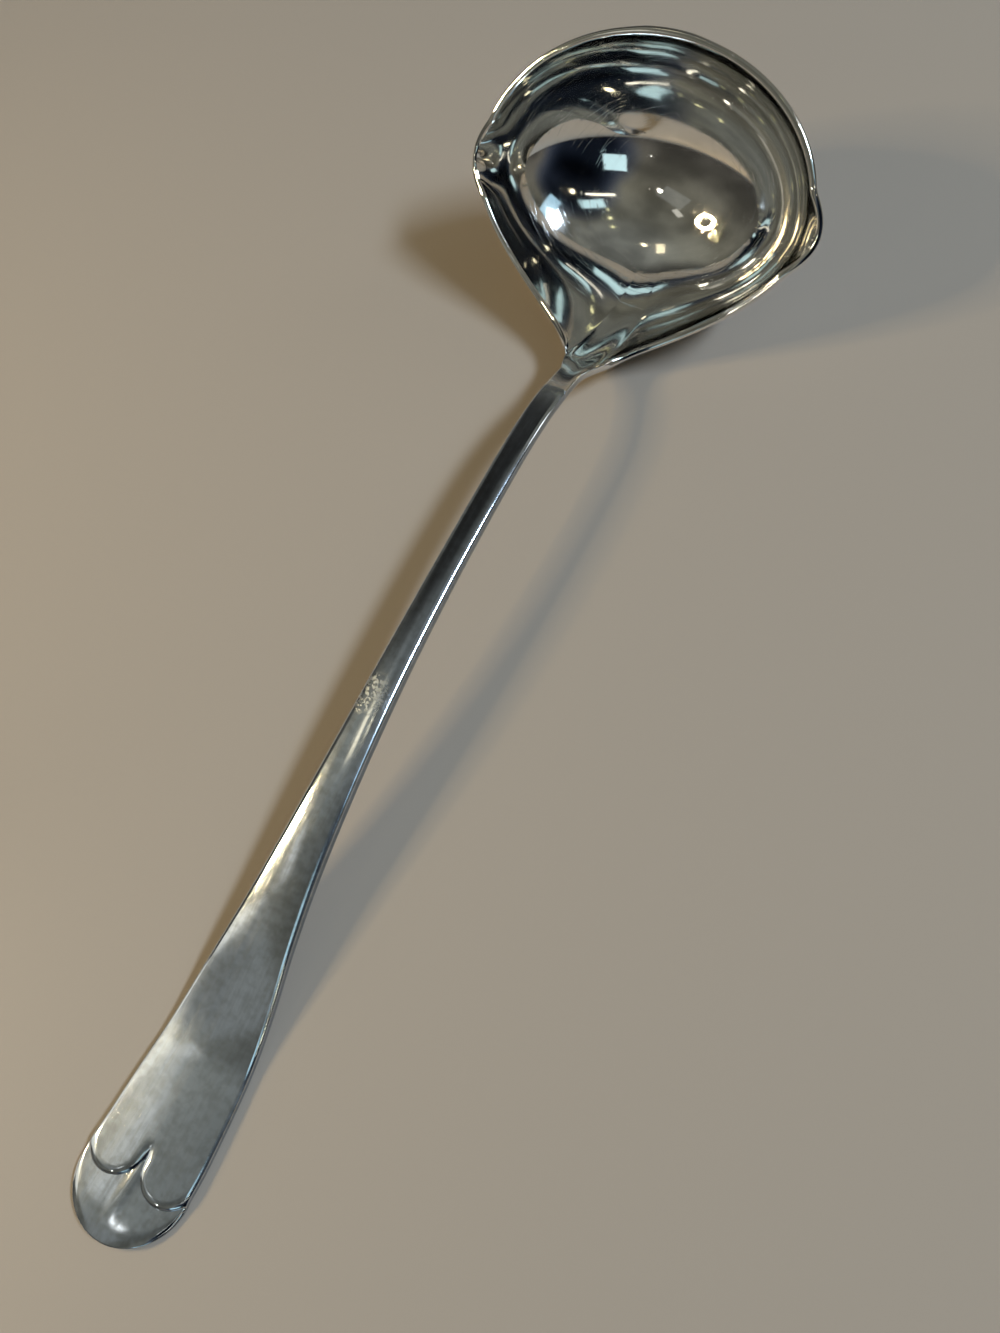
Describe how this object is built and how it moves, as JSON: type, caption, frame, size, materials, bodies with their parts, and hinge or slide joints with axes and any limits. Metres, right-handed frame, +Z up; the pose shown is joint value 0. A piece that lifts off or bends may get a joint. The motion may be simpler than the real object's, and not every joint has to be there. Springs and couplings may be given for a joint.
{
  "type": "serving ladle",
  "caption": "Silver-plated serving ladle with a deep oval double-lipped bowl, a drawn-up neck and a long arched handle that flares to a rounded, lobed flat end.",
  "frame": {"origin": "middle of the bounding box in plan, on the table", "axes": "+Y runs along the ladle from the handle's end to the bowl, +X to the right seen from the handle's end, +Z up from the table"},
  "size_m": [0.106, 0.3325, 0.0684],
  "materials": {
    "polished_silver": "polished silver plate with fine scratches and smudges",
    "worn_silver": "silver plate dulled by fine lengthwise wear",
    "solder_silver": "dressed hard silver solder"
  },
  "bodies": {
    "root": {"bowl": "polished_silver", "handle": "worn_silver", "neck_solder": "solder_silver"}
  },
  "joints": []
}
